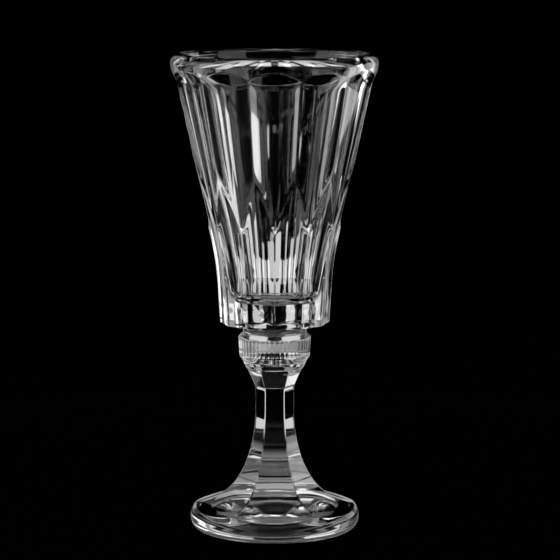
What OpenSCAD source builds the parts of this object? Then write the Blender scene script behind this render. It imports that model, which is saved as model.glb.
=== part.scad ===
// Stemmed drinking glass of heavy cut crystal: panelled bowl, ribbed knop, six-sided stem, thick round foot.
// Millimetres, +Z up. The origin is the centre of the foot's resting face, on the glass's own axis.
// The real glass is hot-worked from gathers of molten glass that meet face to face:
// foot, stem, knop, collar and bowl, from the table upwards. Nothing in it moves.

/* [Heights] */
// Thickness of the foot from the table to where the stem lands on it
foot_h = 19.5; // [17:0.5:22]
// Length of the stem between the foot and the knop
stem_h = 35; // [30:0.5:60]
// Height of the knop with its taper down to the stem
knop_h = 20.7; // [19:0.1:24]
// Height of the collar between the knop and the bowl
collar_h = 3.6; // [2.5:0.1:5]
// Height of the bowl with its solid bottom
bowl_h = 101.2; // [95:0.2:110]

/* [Foot] */
// Radius of the foot at its widest
foot_r = 31.9; // [30:0.1:36]
// Rounding under the foot's edge
foot_under_round = 4.3; // [3:0.1:4.5]
// Height at which the foot's side starts to round over
foot_side_h = 5.2; // [4.4:0.1:5.6]
// Rounding over the foot's edge
foot_over_round = 5.2; // [4.8:0.1:5.6]
// Outer radius of the hollow ground into the underside
hollow_r = 22.5; // [16:0.5:24]
// Depth of that hollow at the centre
hollow_h = 2.4; // [1:0.1:4]
// Height of the foot's six ridges where they reach the edge
ridge_end_h = 9; // [8.5:0.1:9.5]
// Fall of each flat from there to the edge, per millimetre outwards
flat_fall_share = 0.24; // [0.15:0.01:0.3]

/* [Stem] */
// Radius over the stem's six ridges where it is slimmest
stem_r = 7.35; // [6:0.05:9]
// Length of the slim, straight run under the knop
stem_slim_h = 11.5; // [8:0.5:16]
// Radius that the ridges head for as they turn from the stem into the foot
flare_turn_r = 9.4; // [8.5:0.1:11]
// Height at which they turn
flare_turn_h = 11.2; // [10.5:0.1:12.5]

/* [Knop] */
// Radius over the ridges where the knop's taper lands on the stem
taper_r = 7.5; // [7.4:0.05:9]
// Radius over the ridges where it meets the smooth band
taper_top_r = 10.5; // [9.5:0.1:10.7]
// Height of the six-sided taper
taper_h = 7.1; // [6:0.1:8]
// Radius of the smooth band at its lower edge
band_r = 10.8; // [10.6:0.1:11.8]
// Height of the smooth band
band_h = 2.8; // [2:0.1:3.5]
// Radius of the band at its upper edge
band_top_r = 12; // [11.8:0.1:13]
// Height of the bevel between the band and the ribbed belt
bevel_h = 2; // [1.5:0.1:2.5]
// Radius of the ribbed belt at its lower edge
belt_r = 13.3; // [12.8:0.1:14.6]
// Radius of the ribbed belt at its upper edge
belt_top_r = 13.65; // [13:0.05:15]
// Height of the bevel between the belt and the collar
shoulder_h = 1.6; // [1:0.1:2]
// Grooves cut round the belt, which leave the ribs between them
groove_count = 48; // [36:1:54]
// Radius of the tool that cuts a groove
groove_r = 0.62; // [0.4:0.02:0.7]
// Smooth land left above and below the grooves
groove_land = 0.5; // [0.3:0.05:0.8]

/* [Collar] */
// Radius of the collar
collar_r = 11.95; // [11:0.05:13]
// Rounding of the collar's two edges
collar_round = 0.6; // [0.3:0.05:1]

/* [Bowl] */
// Panels round the bowl, in the upper row and again in the lower one
panel_count = 12; // [10:1:14]
// Distance from the axis to the middle of an upper panel at its lower end
upper_low_r = 24.5; // [24:0.1:24.9]
// Height of that end above the bowl's base
upper_low_h = 38; // [37:0.5:40]
// Depth of an upper panel at its upper end, from the bowl's radius under the lip
upper_high_depth = 2.7; // [2.3:0.1:3.2]
// Depth of that end below the rim
upper_high_down = 11.2; // [10.2:0.2:13]
// Radius of the stone that hollows the upper panels across
stone_r = 65; // [50:1:120]
// Rise of the stone's bevelled ends out of the wall, per millimetre along it
stone_end_share = 0.36; // [0.3:0.02:0.6]
// Distance from the axis to the middle of a lower panel at the base
base_panel_r = 20.1; // [19.8:0.05:20.4]
// Distance from the axis to the points that the lower panels end in
point_r = 29.5; // [29.2:0.1:29.9]
// Height of those points above the bowl's base
point_h = 55.4; // [54:0.2:57]
// Hollow of the lower panels along their length
lower_sag = 2.5; // [2.2:0.1:2.8]
// Radius of the bowl at its base, before any panel is cut
base_r = 21.2; // [21:0.1:21.8]
// Rounding under the bowl
bowl_round = 1.3; // [0.8:0.1:2]
// Radius of the rim at its widest
rim_r = 39; // [37:0.1:41]
// How much narrower the bowl is where its side turns into the lip
lip_lean = 1.1; // [0.6:0.1:2]
// Depth of that turn below the rim
lip_down_h = 12; // [10:0.5:14]
// Rounding of the lip outside
lip_round = 3.6; // [2.6:0.1:4.2]
// Rounding of the lip inside
lip_inner_round = 1; // [0.6:0.1:1.4]
// Thickness of the solid glass under the drink
floor_h = 8.4; // [6:0.1:10]
// Radius of the drink's space just above its floor
well_r = 14.6; // [12:0.1:15.5]
// Rounding of the floor's edge inside
well_round = 6; // [4:0.1:8]

/* [Hidden] */

front = -90;               // way that a panel and a flat face, towards -Y
side_count = 6;            // flats round the stem, the knop's taper and the foot
overrun = 6;               // how far a cut runs past the glass it cuts
arc_steps = 6;             // steps along a rounded edge
sweep_steps = 9;           // steps along the stem's or the foot's flare
round_fn = 72;             // facets round a turned surface
wheel_step = 5;            // length of a facet along a panel
stone_fn = 144;            // facets round the stone that hollows a panel across
glass = [0.80, 0.86, 0.88, 0.45];

stem_z = foot_h;
knop_z = stem_z + stem_h;
collar_z = knop_z + knop_h;
bowl_z = collar_z + collar_h;
rim_z = bowl_z + bowl_h;

side_share = cos(180 / side_count);
flare_z = knop_z - stem_slim_h;
lip_r = rim_r - lip_round;
lip_low_r = rim_r - lip_lean;
upper_high_r = lip_low_r - upper_high_depth;

// Points of an arc round (r, z), from one angle to another
function arc(r, z, radius, from, to) = [
    for (i = [0:arc_steps])
        let (a = from + (to - from) * i / arc_steps)
            [r + radius * cos(a), z + radius * sin(a)]
];

// The ridge line's flare is one quadratic curve from the slim stem to the edge of the foot
function flare_rise(z) = flare_z - z;
function flare_bend() = flare_z - 2 * flare_turn_h + ridge_end_h;
function flare_drop() = 2 * (flare_z - flare_turn_h);
function flare_at(z) = z >= flare_z ? 0
    : (flare_drop() - sqrt(pow(flare_drop(), 2) - 4 * flare_bend() * flare_rise(z)))
        / (2 * flare_bend());
function flare_r(t) = pow(1 - t, 2) * stem_r + 2 * t * (1 - t) * flare_turn_r + t * t * foot_r;
function flare_h(t) = pow(1 - t, 2) * flare_z + 2 * t * (1 - t) * flare_turn_h + t * t * ridge_end_h;
function flare_line(from, to) = [
    for (i = [0:sweep_steps])
        let (t = from + (to - from) * i / sweep_steps)
            [side_share * flare_r(t), flare_h(t)]
];

// The other half of an outline, so that a slab is the same on both sides of the axis
function mirrored(points) = [
    for (i = [len(points) - 1:-1:0])
        [-points[i][0], points[i][1]]
];

// What lies within all the flats whose half outline is given, each pair being one slab
module flat_sided(half, width) {
    intersection_for (i = [0:side_count / 2 - 1])
        rotate([90, 0, front + 360 * i / side_count])
            linear_extrude(height = width, center = true)
                polygon(concat(half, mirrored(half)));
}

module turned(points) {
    rotate_extrude($fn = round_fn)
        polygon(points);
}

// The upper panels. Each is the print of a round stone that lies along the wall between two points
// [radius, height] and is bevelled off at both ends, which leaves an arch under the lip.
module stone_row(low, high) {
    run = norm(high - low);
    bevel = overrun / stone_end_share;
    for (i = [0:panel_count - 1])
        rotate(front + 360 * i / panel_count)
            translate([low[0], 0, low[1]])
                rotate([0, atan2(high[0] - low[0], high[1] - low[1]), 0])
                    intersection() {
                        translate([stone_r, 0, run / 2])
                            cylinder(h = run + 4 * bevel, r = stone_r, center = true, $fn = stone_fn);
                        rotate([90, 0, 0])
                            linear_extrude(height = rim_r, center = true)
                                polygon([
                                    [-overrun, bevel],
                                    [overrun, -bevel],
                                    [overrun, run + bevel],
                                    [-overrun, run - bevel]
                                ]);
                    }
}

// The lower panels. Each is one stroke of a large wheel that passes through two points
// [radius, height] and hollows the wall by sag between them.
module wheel_row(low, high, sag, turn) {
    chord = norm(high - low);
    wheel_r = (pow(chord / 2, 2) + sag * sag) / (2 * sag);
    out = [(high[1] - low[1]) / chord, (low[0] - high[0]) / chord];
    centre = (low + high) / 2 + out * (wheel_r - sag);
    for (i = [0:panel_count - 1])
        rotate(front + turn + 360 * i / panel_count)
            translate([centre[0], 0, centre[1]])
                rotate([90, 0, 0])
                    cylinder(h = rim_r, r = wheel_r, center = true,
                        $fn = 4 * ceil(wheel_r * PI / 2 / wheel_step));
}

// The bowl before its panels are cut: thick walls, a solid bottom and a rounded lip
module bowl_blank() {
    lip = arc(lip_r, rim_z - lip_inner_round, lip_inner_round, 90, 180);
    turned(concat(
        [[0, bowl_z]],
        arc(base_r - bowl_round, bowl_z + bowl_round, bowl_round, -90, 0),
        [[lip_low_r, rim_z - lip_down_h]],
        arc(lip_r, rim_z - lip_round, lip_round, 0, 90),
        [for (i = [1:arc_steps]) lip[i]],
        arc(well_r - well_round, bowl_z + floor_h + well_round, well_round, 0, -90),
        [[0, bowl_z + floor_h]]
    ));
}

module bowl() {
    color(glass)
        difference() {
            bowl_blank();
            stone_row([upper_low_r, bowl_z + upper_low_h], [upper_high_r, rim_z - upper_high_down]);
            wheel_row([base_panel_r, bowl_z], [point_r, bowl_z + point_h], lower_sag, 180 / panel_count);
        }
}

module collar() {
    color(glass)
        turned(concat(
            [[0, collar_z]],
            arc(collar_r - collar_round, collar_z + collar_round, collar_round, -90, 0),
            arc(collar_r - collar_round, bowl_z - collar_round, collar_round, 0, 90),
            [[0, bowl_z]]
        ));
}

// The grooves of the belt lean with its side, so that each is as deep from end to end
module belt_grooves() {
    low_z = knop_z + taper_h + band_h + bevel_h;
    high_z = collar_z - shoulder_h;
    lean = atan((belt_top_r - belt_r) / (high_z - low_z));
    for (i = [0:groove_count - 1])
        rotate(360 * (i + 1 / 2) / groove_count)
            translate([(belt_r + belt_top_r) / 2, 0, (low_z + high_z) / 2])
                rotate([0, lean, 0])
                    cylinder(h = high_z - low_z - 2 * groove_land, r = groove_r, center = true,
                        $fn = 16);
}

module knop() {
    band_z = knop_z + taper_h;
    bevel_z = band_z + band_h;
    color(glass) union() {
        difference() {
            turned([
                [0, band_z],
                [band_r, band_z],
                [band_top_r, bevel_z],
                [belt_r, bevel_z + bevel_h],
                [belt_top_r, collar_z - shoulder_h],
                [collar_r, collar_z],
                [0, collar_z]
            ]);
            belt_grooves();
        }
        flat_sided([
            [side_share * taper_r, knop_z],
            [side_share * taper_top_r, band_z],
            [side_share * taper_top_r, band_z + overrun]
        ], 2 * (band_r + overrun));
    }
}

module stem() {
    color(glass)
        flat_sided(concat(
            flare_line(flare_at(foot_h), 0),
            [[side_share * stem_r, knop_z]]
        ), 2 * foot_r);
}

// The foot before its six flats: rounded edge, resting ring and the hollow under it
module foot_blank() {
    dome_r = (hollow_r * hollow_r + hollow_h * hollow_h) / (2 * hollow_h);
    turned(concat(
        arc(0, hollow_h - dome_r, dome_r, 90, 90 - asin(hollow_r / dome_r)),
        arc(foot_r - foot_under_round, foot_under_round, foot_under_round, -90, 0),
        arc(foot_r - foot_over_round, foot_side_h, foot_over_round, 0, 90),
        [[flare_r(flare_at(foot_h)) + overrun, foot_h], [0, foot_h]]
    ));
}

module foot() {
    flat_run = foot_r + overrun - side_share * foot_r;
    color(glass)
        intersection() {
            foot_blank();
            flat_sided(concat(
                [[foot_r + overrun, 0]],
                [[foot_r + overrun, ridge_end_h - flat_fall_share * flat_run]],
                flare_line(1, flare_at(foot_h))
            ), 2 * (foot_r + overrun));
        }
}

bowl();
collar();
knop();
stem();
foot();
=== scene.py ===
# %% [markdown]
# # A stemmed glass of cut crystal
#
# The glass is put together at the furnace from five gathers of clear glass: foot, stem, knop,
# collar and bowl. The CAD frame holds their real sizes. Here each one gets the surface that light
# needs: ridges softened by polishing, a lip rounded by fire, and walls that meet without a mirror
# between them.

import math

import bmesh
import bpy
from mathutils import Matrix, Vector


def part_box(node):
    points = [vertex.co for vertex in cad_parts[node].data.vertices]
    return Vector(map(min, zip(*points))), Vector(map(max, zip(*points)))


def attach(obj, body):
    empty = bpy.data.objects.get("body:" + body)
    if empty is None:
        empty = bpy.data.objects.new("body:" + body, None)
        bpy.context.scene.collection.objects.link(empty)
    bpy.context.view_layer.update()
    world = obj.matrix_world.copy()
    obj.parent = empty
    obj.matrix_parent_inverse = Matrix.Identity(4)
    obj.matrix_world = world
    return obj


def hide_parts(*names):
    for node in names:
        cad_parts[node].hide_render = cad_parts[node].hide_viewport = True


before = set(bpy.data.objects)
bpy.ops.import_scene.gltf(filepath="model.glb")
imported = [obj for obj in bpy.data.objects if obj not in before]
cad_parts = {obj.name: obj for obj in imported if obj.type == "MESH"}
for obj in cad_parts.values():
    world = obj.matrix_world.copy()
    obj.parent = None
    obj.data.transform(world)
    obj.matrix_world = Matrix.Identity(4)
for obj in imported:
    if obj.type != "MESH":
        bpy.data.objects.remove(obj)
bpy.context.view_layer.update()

# %% [markdown]
# ## Sizes
#
# Heights come from the frame, so every piece lands where its solid is. Radii are the driving sizes
# of the CAD source, in metres, and each piece's stand in its own cell. Only the lower panels of
# the bowl have sizes of their own here, which keep them within 0.7 mm of the solid.

# %% Heights from the frame
MM = 0.001


def heights(node):
    """Where a node starts and ends above the table."""
    low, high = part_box(node)
    return low.z, high.z


foot_z, stem_z = heights("foot")
knop_z, collar_z = heights("knop")
bowl_z, rim_z = heights("bowl")
all_heights = (foot_z, stem_z, knop_z, collar_z, bowl_z, rim_z)
print("heights in mm:", [round(1000 * z, 1) for z in all_heights])

# %% What is repeated round the axis
FRONT = -math.pi / 2
PANELS = 12
SIDES = 6
RIBS = 48
side_share = math.cos(math.pi / SIDES)
print("a flat lies at", round(side_share, 4), "of the radius of the ridges beside it")

# %% [markdown]
# ## A turned blank, carved ring by ring
#
# A glass piece starts round, on the blowing iron or in a mould, and the flats come afterwards. The
# mesh does the same. A section of rings is spun round the axis, and then every ring is pulled in
# to the outline that it has after cutting. Booleans with a dozen wheels would leave long thin
# faces that spoil the reflections, so the outline is a formula instead, and the grid stays even.


# %% Softening where two surfaces meet
def soft_min(a, b, width):
    """The smaller of two sizes, rounded over where they are within width of each other."""
    gap = max(width - abs(a - b), 0.0) / width
    return min(a, b) - gap * gap * width / 4


def from_flat(angle, count, turn):
    """Angle to the middle of the nearest flat, out of count flats evenly spaced from the front."""
    pitch = 2 * math.pi / count
    return (angle - FRONT - turn + pitch / 2) % pitch - pitch / 2


def many_sided(flat, angle, count, turn, width):
    """Radius of an evenly sided outline whose flats lie at a distance from the axis."""
    pitch = 2 * math.pi / count
    off = abs(from_flat(angle, count, turn))
    return soft_min(flat / math.cos(off), flat / math.cos(pitch - off), width)


# %% Rings, and the mesh they make
MERGE = 0.001 * MM


def ring(z, radius, skin=0):
    """One ring: its height, its radius (a size or a rule of the angle) and the skin after it."""
    rule = radius if callable(radius) else lambda angle: radius
    return z, rule, skin


def spun_piece(name, rings, steps, skins):
    """Spins a section of rings round the axis and draws each ring to its own outline."""
    bm = bmesh.new()
    place = bm.verts.layers.int.new("ring")
    section = []
    for i, (z, rule, skin) in enumerate(rings):
        v = bm.verts.new((rule(0.0), 0, z))
        v[place] = i
        section.append(v)
    edges = [bm.edges.new(pair) for pair in zip(section, section[1:])]
    bmesh.ops.spin(
        bm, geom=section + edges, axis=(0, 0, 1), cent=(0, 0, 0), angle=2 * math.pi, steps=steps,
        use_merge=True,
    )
    for v in bm.verts:
        z, rule, skin = rings[v[place]]
        angle = math.atan2(v.co.y, v.co.x)
        radius = rule(angle)
        v.co = Vector((radius * math.cos(angle), radius * math.sin(angle), z))
    for face in bm.faces:
        face.smooth = True
        face.material_index = rings[min(v[place] for v in face.verts)][2]
    bmesh.ops.remove_doubles(bm, verts=bm.verts, dist=MERGE)
    bmesh.ops.recalc_face_normals(bm, faces=bm.faces)
    mesh = bpy.data.meshes.new(name)
    bm.to_mesh(mesh)
    bm.free()
    for skin in skins:
        mesh.materials.append(skin)
    piece = bpy.data.objects.new(name, mesh)
    bpy.context.scene.collection.objects.link(piece)
    print(name, "rings", len(rings), "faces", len(mesh.polygons))
    return piece


def levels(low, high, count):
    """Evenly spaced values from low to high, both included."""
    return [low + (high - low) * i / (count - 1) for i in range(count)]


def arc(r, z, radius, start, end, count):
    """Points of an arc in the section, angles in degrees."""
    turns = [math.radians(a) for a in levels(start, end, count)]
    return [(r + radius * math.cos(a), z + radius * math.sin(a)) for a in turns]


# %% [markdown]
# ## Clear crystal
#
# Lead crystal is colourless and bends light more than window glass, by an IOR of about 1.54. A
# flawless surface looks like plastic, so each skin has the waves that its making leaves, given by
# their real width and depth in mm. One shader makes all the skins, because they are one glass, and
# only its roughness and its waves differ.


# %% Small helpers for materials
def to_linear(hex_colour):
    """An sRGB hex colour as the linear colour that a shader wants."""
    parts = [int(hex_colour[i : i + 2], 16) / 255 for i in (1, 3, 5)]
    return [c / 12.92 if c <= 0.04045 else ((c + 0.055) / 1.055) ** 2.4 for c in parts] + [1]


def add_node(tree, kind, links=(), **settings):
    """Adds a node, sets its properties or sockets by name, and links what is given."""
    node = tree.nodes.new(kind)
    for key, value in settings.items():
        if hasattr(node, key):
            setattr(node, key, value)
        else:
            node.inputs[key.title()].default_value = value
    for source, target in links:
        tree.links.new(source, node.inputs[target])
    return node


def new_material(name):
    """An empty node material and its node tree."""
    material = bpy.data.materials.new(name)
    material.use_nodes = True
    material.node_tree.nodes.clear()
    return material, material.node_tree


# %% Crystal with waves of a real width and depth
CRYSTAL_IOR = 1.54


def crystal(name, roughness, wave_size, wave_depth):
    """Clear crystal, as rough and as wavy as its making leaves it."""
    material, tree = new_material(name)
    coordinates = add_node(tree, "ShaderNodeTexCoord")
    waves = add_node(
        tree, "ShaderNodeTexNoise", [(coordinates.outputs["Object"], "Vector")],
        scale=1 / wave_size, detail=0.0,
    )
    bump = add_node(
        tree, "ShaderNodeBump", [(waves.outputs["Fac"], "Height")],
        strength=1.0, distance=wave_depth,
    )
    glass = add_node(tree, "ShaderNodeBsdfPrincipled", [(bump.outputs["Normal"], "Normal")])
    glass.inputs["Base Color"].default_value = to_linear("#FFFFFF")
    glass.inputs["Transmission Weight"].default_value = 1.0
    glass.inputs["IOR"].default_value = CRYSTAL_IOR
    glass.inputs["Roughness"].default_value = roughness
    add_node(tree, "ShaderNodeOutputMaterial", [(glass.outputs["BSDF"], "Surface")])
    print(name, "waves in mm:", round(1000 * wave_size, 2), "by", round(1000 * wave_depth, 3))
    return material


# Panels cut by stone and polished in acid: the slight blur widens each streak of light
cut_crystal = crystal("polished cut crystal", 0.05, 25 * MM, 0.004 * MM)
# Blown glass that no tool has touched: a perfect gloss, which keeps the far wall's edges crisp
blown_crystal = crystal("blown crystal inside", 0.0, 30 * MM, 0.01 * MM)
# The mould's wrinkles under the bowl: they break the light there into small pieces
base_crystal = crystal("wrinkled crystal of the bowl's base", 0.05, 3.5 * MM, 0.25 * MM)
# The ring that the glass stands on, ground flat: a soft, frosted edge under the foot
ground_crystal = crystal("ground resting ring", 0.25, 1.5 * MM, 0.01 * MM)


# %% The seam between two pieces, which light passes unbent
def seam_material():
    """A seam fused hot has no surface: the eye sees one glass through it."""
    material, tree = new_material("hot seam")
    clear = add_node(tree, "ShaderNodeBsdfTransparent")
    add_node(tree, "ShaderNodeOutputMaterial", [(clear.outputs["BSDF"], "Surface")])
    return material


hot_seam = seam_material()
OUTSIDE, INSIDE, SEAM, BASE, GROUND = 0, 1, 2, 3, 4
skins = [cut_crystal, blown_crystal, hot_seam, base_crystal, ground_crystal]
print("skins of the glass:", [skin.name for skin in skins])

# %% [markdown]
# ## Bowl
#
# Twelve long panels run up the outside, and twelve shorter ones, half a panel round, are cut over
# their lower ends. A long panel is the print of a round stone laid along the wall: hollow across,
# straight along, and bevelled at both ends, which gives the arch under the lip. A short panel is
# cut by a smaller stone, steeply at the base and then lifting away, so that it ends in a point.
# All of it comes out of the formula for a ring, where the deepest cut at an angle wins.

# %% The bowl's sizes
rim, lip_low, lip_down = 39 * MM, 37.9 * MM, 12 * MM
lip_round, lip_inner_round = 3.6 * MM, 1 * MM
base_edge, bowl_round = 21.2 * MM, 1.3 * MM
floor_up, well, well_round = 8.4 * MM, 14.6 * MM, 6 * MM
collar, collar_round = 11.95 * MM, 0.6 * MM

# A long panel's middle at its lower and upper end, the stone's radius and the slope of its ends
upper_low, upper_low_up = 24.5 * MM, 38 * MM
upper_high, upper_high_up = 35.2 * MM, 90 * MM
stone, stone_end_share = 65 * MM, 0.36

# A short panel's steep and lifting strokes, how softly one turns into the other, and its stone
lower_base, lower_lean = 19.35 * MM, 0.056
lower_lift, lower_lift_up, lift_lean = 23.44 * MM, 38 * MM, 0.32
lower_turn, lower_across = 4.2 * MM, 25 * MM

# How wide polishing rounds the ridges of the long panels, those of the short ones, and the arches
PANEL_EASE, LOWER_EASE, ARCH_EASE = 0.2 * MM, 0.4 * MM, 0.6 * MM

upper_lean = (upper_high - upper_low) / (upper_high_up - upper_low_up)
print("long panels lean out by", round(math.degrees(math.atan(upper_lean)), 1), "degrees")


# %% How far the cuts lie from the axis
def lower_stroke(z):
    """Distance from the axis to the middle of a short panel, steep first and then lifting."""
    steep = lower_base + lower_lean * (z - bowl_z)
    lifting = lower_lift + lift_lean * (z - bowl_z - lower_lift_up)
    return -soft_min(-steep, -lifting, lower_turn)


def upper_middle(z):
    """Distance from the axis to the middle of a long panel."""
    return upper_low + upper_lean * (z - bowl_z - upper_low_up)


def upper_end(z):
    """Distance from the axis to the bevels that the stone's two ends leave."""
    rise_above = (stone_end_share + upper_lean) / (1 - stone_end_share * upper_lean)
    rise_below = (stone_end_share - upper_lean) / (1 + stone_end_share * upper_lean)
    above = upper_high + rise_above * (z - bowl_z - upper_high_up)
    below = upper_low + rise_below * (bowl_z + upper_low_up - z)
    return max(above, below)


# %% What a stone leaves across a panel
def hollow_panel(middle, across, away):
    """Radius of a panel hollowed across by a stone, at an angle away from its middle."""
    reach = middle + across
    return reach * math.cos(away) - math.sqrt(max(across**2 - (reach * math.sin(away)) ** 2, 0.0))


def stone_print(middle, end, away):
    """Radius of one long panel at an angle away from its middle: hollow, with bevelled ends."""
    return -soft_min(-hollow_panel(middle, stone, away), -end / math.cos(away), ARCH_EASE)


def bowl_outline(blank, z):
    """Radius of the bowl's outside at a height, as a rule of the angle."""
    upper, end, lower = upper_middle(z), upper_end(z), lower_stroke(z)
    pitch = 2 * math.pi / PANELS

    def rule(angle):
        off = abs(from_flat(angle, PANELS, 0))
        long_panels = soft_min(
            stone_print(upper, end, off), stone_print(upper, end, pitch - off), PANEL_EASE
        )
        near = abs(from_flat(angle, PANELS, math.pi / PANELS))
        short_panels = soft_min(
            hollow_panel(lower, lower_across, near),
            hollow_panel(lower, lower_across, pitch - near),
            LOWER_EASE,
        )
        cut = soft_min(long_panels, short_panels, LOWER_EASE)
        return soft_min(blank, cut, PANEL_EASE)

    return rule


# %% The bowl's rings
WRINKLED_UP = 7 * MM
CLOSE_RINGS_UP = 60 * MM


def bowl_underside_and_wall():
    """Points of the blank's outside, close together as far up as the points of the short panels."""
    outside = arc(base_edge - bowl_round, bowl_z + bowl_round, bowl_round, -90, 0, 8)
    low_z, band_z = outside[-1][1], rim_z - lip_down
    close_z = bowl_z + CLOSE_RINGS_UP
    wall = levels(low_z, close_z, 84)[1:] + levels(close_z, band_z, 22)[1:]
    span = band_z - low_z
    outside += [(base_edge + (lip_low - base_edge) * (z - low_z) / span, z) for z in wall]
    lip_z = rim_z - lip_round
    band = levels(band_z, lip_z, 24)[1:-1]
    outside += [(lip_low + (rim - lip_low) * (z - band_z) / (lip_z - band_z), z) for z in band]
    return outside


def bowl_inside(inner):
    """Rings down the inner wall and across the floor of the drink's space."""
    turn_z = rim_z - lip_inner_round
    floor_z = bowl_z + floor_up
    wall_low = floor_z + well_round
    rings = [
        ring(turn_z + (wall_low - turn_z) * s, inner + (well - inner) * s, INSIDE)
        for s in levels(0, 1, 40)
    ]
    corner = arc(well - well_round, wall_low, well_round, 0, -90, 14)
    rings += [ring(z, r, INSIDE) for r, z in corner[1:]]
    rings += [ring(floor_z, r, INSIDE) for r in levels(well - well_round, 0, 5)[1:]]
    return rings


def bowl_rings():
    """The whole section: seam, underside, panelled wall, lip, inner wall and floor."""
    contact = collar - collar_round
    rings = [ring(bowl_z, 0, SEAM), ring(bowl_z, contact / 2, SEAM), ring(bowl_z, contact, BASE)]
    rings += [ring(bowl_z, r, BASE) for r in levels(contact, base_edge - bowl_round, 6)[1:-1]]
    for r, z in bowl_underside_and_wall():
        rings += [ring(z, bowl_outline(r, z), BASE if z < bowl_z + WRINKLED_UP else OUTSIDE)]
    lip_r, lip_z = rim - lip_round, rim_z - lip_round
    rings += [ring(z, r) for r, z in arc(lip_r, lip_z, lip_round, 0, 90, 18)]
    inner_lip = arc(lip_r, rim_z - lip_inner_round, lip_inner_round, 90, 180, 8)
    rings += [ring(z, r, INSIDE) for r, z in inner_lip[1:-1]]
    return rings + bowl_inside(lip_r - lip_inner_round)


bowl = spun_piece("cut_bowl", bowl_rings(), 24 * PANELS, skins)

# %% [markdown]
# ## Collar
#
# The merese is a button of hot glass pressed between knop and bowl. Its two faces are seams,
# through which light passes unbent, so no mirror stands between pieces that are one glass. A few
# rings round its edges are all that it needs.


# %% Collar
def collar_rings():
    """Seam, rounded edge, rounded edge, seam."""
    contact = collar - collar_round
    low_edge = arc(contact, collar_z + collar_round, collar_round, -90, 0, 8)
    high_edge = arc(contact, bowl_z - collar_round, collar_round, 0, 90, 8)
    rings = [ring(collar_z, 0, SEAM), ring(collar_z, contact / 2, SEAM)]
    rings += [ring(z, r) for r, z in low_edge + high_edge[:-1]]
    rings += [ring(bowl_z, r, SEAM) for r in (contact, contact / 2, 0)]
    return rings


collar_piece = spun_piece("joining_collar", collar_rings(), 32 * SIDES, skins)

# %% [markdown]
# ## Knop
#
# The knop is moulded: a six-sided taper, a smooth band, a belt of 48 grooves with a thin land
# above and below, and a shoulder. Each groove is the print of a small round cutter. A bevel on
# modelled ribs would do too, but one more rule of the angle keeps the knop on the same rings.

# %% The knop's sizes
taper_low, taper_high, taper_up = 7.5 * MM, 10.5 * MM, 7.1 * MM
band_low, band_high, band_up = 10.8 * MM, 12 * MM, 2.8 * MM
bevel_up, belt_low, belt_high, shoulder = 2 * MM, 13.3 * MM, 13.65 * MM, 1.6 * MM
groove, groove_land = 0.62 * MM, 0.5 * MM
stem_slim = 7.35 * MM

# A ridge's rounding, the small step where two outlines meet, how far a seam's face stays inside
# the outline round it, and the height over which a groove runs out
RIDGE_EASE, EDGE, SEAM_INSET, GROOVE_RUN = 0.35 * MM, 0.2 * MM, 0.25 * MM, 0.5 * MM
print("a rib every", round(1000 * 2 * math.pi * belt_low / RIBS, 2), "mm round the belt")


# %% The knop's outlines
def six_sided(ridge):
    """A six-sided outline that reaches ridge from the axis at its ridges."""
    return lambda angle: many_sided(side_share * ridge, angle, SIDES, 0, RIDGE_EASE)


def ribbed(radius, depth):
    """A round outline with a groove cut between each rib and the next, to a share of its depth."""

    def rule(angle):
        off = from_flat(angle, RIBS, math.pi / RIBS) * radius
        cut = math.sqrt(max(groove**2 - off**2, 0.0))
        return radius - depth * cut

    return rule


def cone_rings(z, up, low_r, high_r, shares):
    """Rings at shares of a cone's height, which stop short of its ends to leave a soft edge."""
    return [ring(z + up * s, low_r + (high_r - low_r) * s) for s in shares]


# %% The knop's rings
def taper_rings(band_z):
    """The six-sided taper, from the seam with the stem up to the smooth band."""
    rings = [ring(knop_z, 0, SEAM), ring(knop_z, six_sided(stem_slim / 2), SEAM)]
    rings += [ring(knop_z, six_sided(stem_slim - SEAM_INSET))]
    rings += [ring(knop_z + EDGE, six_sided(taper_low - EDGE / 2))]
    rings += [ring(knop_z + 2 * EDGE, six_sided(taper_low + EDGE / 2))]
    for s in levels(0, 1, 14)[1:]:
        z = knop_z + 2 * EDGE + (taper_up - 3 * EDGE) * s
        ridge = taper_low + EDGE / 2 + (taper_high - taper_low - EDGE / 2) * s
        rings += [ring(z, six_sided(ridge))]
    return rings + [ring(band_z, six_sided(taper_high))]


def belt_rings(belt_z, top_z):
    """The ribbed belt, with a land left smooth above and below the grooves."""
    rings = []
    for s in levels(0.03, 0.97, 30):
        z = belt_z + (top_z - belt_z) * s
        inside = min(z - belt_z, top_z - z) - groove_land
        depth = min(max(inside / GROOVE_RUN, 0.0), 1.0)
        rings += [ring(z, ribbed(belt_low + (belt_high - belt_low) * s, depth))]
    return rings


def knop_rings():
    """Taper, smooth band, bevel, ribbed belt and shoulder, up to the seam with the collar."""
    band_z = knop_z + taper_up
    bevel_z = band_z + band_up
    belt_z = bevel_z + bevel_up
    top_z = collar_z - shoulder
    rings = taper_rings(band_z)
    rings += [ring(band_z, band_low - EDGE), ring(band_z + EDGE, band_low + EDGE / 4)]
    rings += cone_rings(band_z, band_up, band_low, band_high, levels(0.15, 0.95, 6))
    rings += cone_rings(bevel_z, bevel_up, band_high, belt_low, levels(0.05, 0.92, 6))
    rings += belt_rings(belt_z, top_z)
    rings += cone_rings(top_z, shoulder, belt_high, collar, levels(0.06, 0.94, 8))
    rings += [ring(collar_z, collar - SEAM_INSET)]
    rings += [ring(collar_z, r, SEAM) for r in (collar - collar_round, collar / 2, 0)]
    return rings


knop = spun_piece("ribbed_knop", knop_rings(), 12 * RIBS, skins)

# %% [markdown]
# ## Stem
#
# The stem's six ridges follow one curve, from the slim stem out to the edge of the foot. Drawn out
# of hot glass, it has no corner anywhere, so it is one quadratic Bezier. Stem and foot share it,
# and the joint between them is only a level on it.

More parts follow.
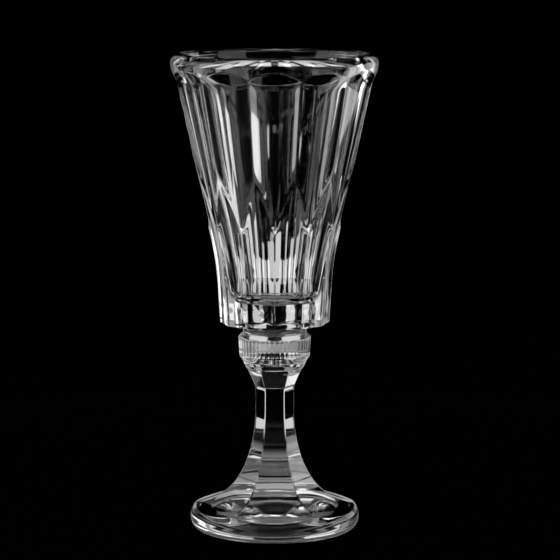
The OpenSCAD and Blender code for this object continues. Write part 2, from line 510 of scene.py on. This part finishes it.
# %% The flare
stem_slim_up = 11.5 * MM
turn_r, turn_z = 9.4 * MM, 11.2 * MM
foot_wide, ridge_end_z = 31.9 * MM, 9 * MM
flare_z = knop_z - stem_slim_up


def flare(t):
    """The ridge line from the slim stem (t = 0) to the foot's edge (t = 1): radius, height."""
    weights = (1 - t) ** 2, 2 * t * (1 - t), t * t
    radius = weights[0] * stem_slim + weights[1] * turn_r + weights[2] * foot_wide
    height = weights[0] * flare_z + weights[1] * turn_z + weights[2] * ridge_end_z
    return radius, height


def flare_share(z):
    """How far along the flare a height is."""
    bend = flare_z - 2 * turn_z + ridge_end_z
    drop = 2 * (flare_z - turn_z)
    return (drop - math.sqrt(drop**2 - 4 * bend * (flare_z - z))) / (2 * bend)


print("ridges at the joint of stem and foot in mm:", round(1000 * flare(flare_share(stem_z))[0], 2))


# %% Stem
def stem_rings():
    """Seam with the foot, flare, slim run and seam with the knop."""
    start = flare_share(stem_z)
    radius = flare(start)[0]
    rings = [ring(stem_z, 0, SEAM), ring(stem_z, six_sided(radius / 2), SEAM)]
    rings += [ring(stem_z, six_sided(radius))]
    for t in levels(start, 0, 50)[1:]:
        r, z = flare(t)
        rings += [ring(z, six_sided(r))]
    rings += [ring(z, six_sided(stem_slim)) for z in levels(flare_z, knop_z - EDGE, 8)[1:]]
    rings += [ring(knop_z, six_sided(stem_slim - SEAM_INSET), SEAM)]
    rings += [ring(knop_z, six_sided(stem_slim / 2), SEAM), ring(knop_z, 0, SEAM)]
    return rings


stem = spun_piece("six_sided_stem", stem_rings(), 32 * SIDES, skins)

# %% [markdown]
# ## Foot
#
# The foot goes on with the six flats, until they run out into a round edge. Underneath it is
# hollow, and rests on a ring that was ground flat. Its rings lie closest where the flats turn down
# to the edge, because that corner catches the light.

# %% The foot's sizes
under_round, over_round, side_up = 4.3 * MM, 5.2 * MM, 5.2 * MM
hollow, hollow_up = 22.5 * MM, 2.4 * MM
flat_fall = 0.24
CORNER_UP = 1.1 * MM
SEAM_MIDDLE = 6 * MM
ring_mm = [round(1000 * r, 1) for r in (hollow, foot_wide - under_round)]
print("resting ring from and to, in mm:", ring_mm)


# %% The foot's outlines
def over_edge(z):
    """Radius of the foot's round blank where its side rounds over."""
    up = min(max(z - side_up, 0.0), over_round)
    return foot_wide - over_round + math.sqrt(over_round**2 - up**2)


def foot_outline(z):
    """Where the six flats and the rounded edge leave the foot at a height."""
    if z > ridge_end_z:
        flat = side_share * flare(flare_share(z))[0]
    else:
        flat = side_share * foot_wide + (ridge_end_z - z) / flat_fall
    blank = over_edge(z)

    def rule(angle):
        return soft_min(blank, many_sided(flat, angle, SIDES, 0, RIDGE_EASE), RIDGE_EASE)

    return rule


# %% Foot
def foot_underside():
    """The hollow, which is part of a large ball, the ground ring and the edge under the foot."""
    dome = (hollow**2 + hollow_up**2) / (2 * hollow_up)
    span = math.degrees(math.asin(hollow / dome))
    rings = [ring(z, max(r, 0)) for r, z in arc(0, hollow_up - dome, dome, 90, 90 - span, 30)]
    rings[-1] = ring(0, hollow, GROUND)
    edge = foot_wide - under_round
    rings += [ring(0, r, GROUND) for r in levels(hollow, edge, 8)[1:-1]]
    rings += [ring(z, r) for r, z in arc(edge, under_round, under_round, -90, 0, 14)]
    return rings


def foot_rings():
    """Underside, side, corner, flats up to the stem, and the seam there."""
    corner_z = ridge_end_z - CORNER_UP
    side = levels(side_up, corner_z, 10) + levels(corner_z, ridge_end_z, 16)[1:]
    slope = [flare(t)[1] for t in levels(1, flare_share(stem_z), 46)[1:-1]]
    rings = foot_underside() + [ring(z, foot_outline(z)) for z in side + slope]
    top = six_sided(flare(flare_share(stem_z))[0])
    rings += [ring(stem_z, top, SEAM), ring(stem_z, six_sided(SEAM_MIDDLE), SEAM)]
    return rings + [ring(stem_z, 0, SEAM)]


foot = spun_piece("round_foot", foot_rings(), 48 * SIDES, skins)

# %% [markdown]
# ## On the frame
#
# Each piece takes the place of the plain solid of its node, and all of them ride the one body
# there is, because nothing in a glass moves.

# %% Join the pieces to the frame
pieces = (
    (bowl, "bowl"), (collar_piece, "collar"), (knop, "knop"), (stem, "stem"), (foot, "foot"),
)
for piece, node in pieces:
    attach(piece, "root")
    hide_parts(node)
print("pieces on the frame:", [piece.name for piece, node in pieces])

# %% [markdown]
# ## Floor
#
# The photograph's ground is black wherever the camera sees it, yet light comes up through the foot
# and the lower bowl. So a pool of light is painted on the floor: pale close round the foot, and
# fading to black further out, where a pale floor would grey the dark middle of the glass. The
# camera's own rays find all of it dark, and only rays that have met the glass find the painted
# pool.

# %% Floor
# A pool of light is painted on the floor: pale to the first radius, black from the second.
PAINTED_POOL_R, POOL_FADED_R = 30 * MM, 65 * MM
FLOOR_SIZE = 12


def floor_material():
    """Matt paint: a painted pool of light round the glass, black beyond it and to the camera."""
    material, tree = new_material("floor with a painted pool of light, dark to the camera")
    coordinates = add_node(tree, "ShaderNodeTexCoord")
    distance = add_node(
        tree, "ShaderNodeVectorMath", [(coordinates.outputs["Object"], 0)], operation="LENGTH"
    )
    # This fade paints the pool of light, from pale near the glass to black further out.
    painted_pool_fade = add_node(
        tree, "ShaderNodeMapRange", [(distance.outputs["Value"], "Value")],
        interpolation_type="SMOOTHSTEP",
    )
    painted_pool_fade.inputs["From Min"].default_value = PAINTED_POOL_R
    painted_pool_fade.inputs["From Max"].default_value = POOL_FADED_R
    path = add_node(tree, "ShaderNodeLightPath")
    dark = add_node(
        tree, "ShaderNodeMath", [(path.outputs["Is Camera Ray"], 0), (painted_pool_fade.outputs["Result"], 1)],
        operation="MAXIMUM",
    )
    # Pale: the painted pool of light. Near black: the floor round it, and all the camera sees.
    colours = add_node(tree, "ShaderNodeMix", [(dark.outputs[0], "Factor")], data_type="RGBA")
    colours.inputs["A"].default_value = to_linear("#C4C4C4")
    colours.inputs["B"].default_value = to_linear("#010101")
    paint = add_node(
        tree, "ShaderNodeBsdfPrincipled", [(colours.outputs["Result"], "Base Color")]
    )
    paint.inputs["Roughness"].default_value = 0.9
    paint.inputs["Specular IOR Level"].default_value = 0.0
    add_node(tree, "ShaderNodeOutputMaterial", [(paint.outputs["BSDF"], "Surface")])
    return material


bpy.ops.mesh.primitive_plane_add(size=FLOOR_SIZE, location=(0, 0, 0))
floor = bpy.context.object
floor.name = "studio_floor"
floor.data.materials.append(floor_material())
print("floor: pale to", round(1000 * PAINTED_POOL_R), "mm from the axis, dark from", round(1000 * POOL_FADED_R))

# %% [markdown]
# ## Light
#
# Cut glass on black is lit from the sides, from behind and from high up, and hardly from the
# front: the middle of the bowl then looks through to the dark, and every ridge bends a strip of
# light towards the camera. Soft boxes stand round the glass, two low strips stand behind it, and
# two white cards lie on the floor to fill the lower panels and the foot. The camera sees none of
# them directly. Each is set by how bright its face is, so a lamp can change size and keep its look.


# %% A lamp by the brightness of its face
def soft_light(name, place, rotation, width, height, glow):
    """A soft rectangle of light whose face is as bright as a surface of emission glow."""
    light = bpy.data.lights.new(name, "AREA")
    light.shape = "RECTANGLE"
    light.size, light.size_y = width, height
    light.energy = glow * width * height * math.pi
    box = bpy.data.objects.new(name, light)
    box.location = place
    box.rotation_euler = rotation
    box.visible_camera = False
    bpy.context.scene.collection.objects.link(box)
    return box


# %% Softboxes round the glass
AIM = Vector((0, 0, 0.1))


def softbox(name, turn, away, up, width, height, glow):
    """A softbox facing the glass, turned round it in degrees from its right."""
    turned = math.radians(turn)
    place = Vector((away * math.cos(turned), away * math.sin(turned), up))
    rotation = (AIM - place).to_track_quat("-Z", "Y").to_euler()
    return soft_light(name, place, rotation, width, height, glow)


boxes = [
    softbox("right_softbox", 10, 0.6, 0.13, 0.36, 0.26, 1.3),
    softbox("right_back_softbox", 38, 0.6, 0.15, 0.25, 0.30, 2.0),
    softbox("right_far_softbox", 60, 0.6, 0.20, 0.20, 0.40, 0.35),
    softbox("right_high_softbox", -30, 0.6, 0.42, 0.47, 0.32, 1.0),
    softbox("left_far_softbox", 122, 0.6, 0.22, 0.37, 0.36, 0.25),
    softbox("left_back_softbox", 152, 0.6, 0.33, 0.40, 0.20, 0.8),
    softbox("left_high_softbox", 187, 0.6, 0.42, 0.60, 0.32, 1.3),
    softbox("left_front_softbox", 232, 0.6, 0.17, 0.31, 0.18, 0.9),
    softbox("top_softbox", 262, 0.42, 0.80, 0.55, 0.40, 2.8),
    softbox("right_low_strip", 70, 0.3, 0.03, 0.12, 0.06, 0.6),
    softbox("left_low_strip", 112, 0.3, 0.06, 0.10, 0.12, 0.7),
]
print("softboxes and strips:", len(boxes))

# %% Cards on the floor
CARD_UP = 2 * MM


def floor_card(name, x, y, width, depth, glow):
    """A card on the floor that sends light up."""
    return soft_light(name, (x, y, CARD_UP), (math.pi, 0, 0), width, depth, glow)


cards = [
    floor_card("right_floor_card", 0.055, 0.24, 0.07, 0.34, 0.7),
    floor_card("left_floor_card", -0.055, 0.24, 0.07, 0.34, 0.7),
]
print("floor cards:", len(cards))

# %% [markdown]
# ## World
#
# The room is black to every ray that the glass sends on, which keeps the ground of each panel dark
# between its streaks. Only rays scattered by matt paint find a grey room, and that gives the pale
# part of the floor a little light of its own.


# %% World
def dark_studio():
    """A black room, with a little fill for the floor."""
    world = bpy.data.worlds.new("dark studio")
    world.use_nodes = True
    tree = world.node_tree
    tree.nodes.clear()
    path = add_node(tree, "ShaderNodeLightPath")
    fill = add_node(
        tree, "ShaderNodeMix", [(path.outputs["Is Diffuse Ray"], "Factor")], data_type="RGBA"
    )
    fill.inputs["A"].default_value = to_linear("#000000")
    fill.inputs["B"].default_value = to_linear("#909090")
    sky = add_node(tree, "ShaderNodeBackground", [(fill.outputs["Result"], "Color")])
    add_node(tree, "ShaderNodeOutputWorld", [(sky.outputs["Background"], "Surface")])
    return world


bpy.context.scene.world = dark_studio()
print("world:", bpy.context.scene.world.name)

# %% [markdown]
# ## Camera
#
# The photograph looks down by 8 degrees through a long lens. The flattening of the rim's and the
# foot's ellipses gives that angle, and the way they differ gives the distance. The glass stands a
# few pixels off the middle, so the lens is shifted instead of the camera turned.

# %% Camera
PHOTO_SIDE = 560
LENS_PIXELS, SHIFT_PIXELS = 2683, 5.3
LOOK_DOWN = 7.98
SENSOR = 36

camera_data = bpy.data.cameras.new("camera")
camera = bpy.data.objects.new("camera", camera_data)
bpy.context.scene.collection.objects.link(camera)
camera.location = (0, -1.0, 0.235)
camera.rotation_euler = (math.radians(90 - LOOK_DOWN), 0, 0)
camera_data.sensor_width = SENSOR
camera_data.lens = LENS_PIXELS / PHOTO_SIDE * SENSOR
camera_data.shift_x = SHIFT_PIXELS / PHOTO_SIDE
bpy.context.scene.camera = camera
bpy.context.scene.view_settings.view_transform = "Standard"
print("lens in mm:", round(camera_data.lens, 1), "shift:", round(camera_data.shift_x, 5))
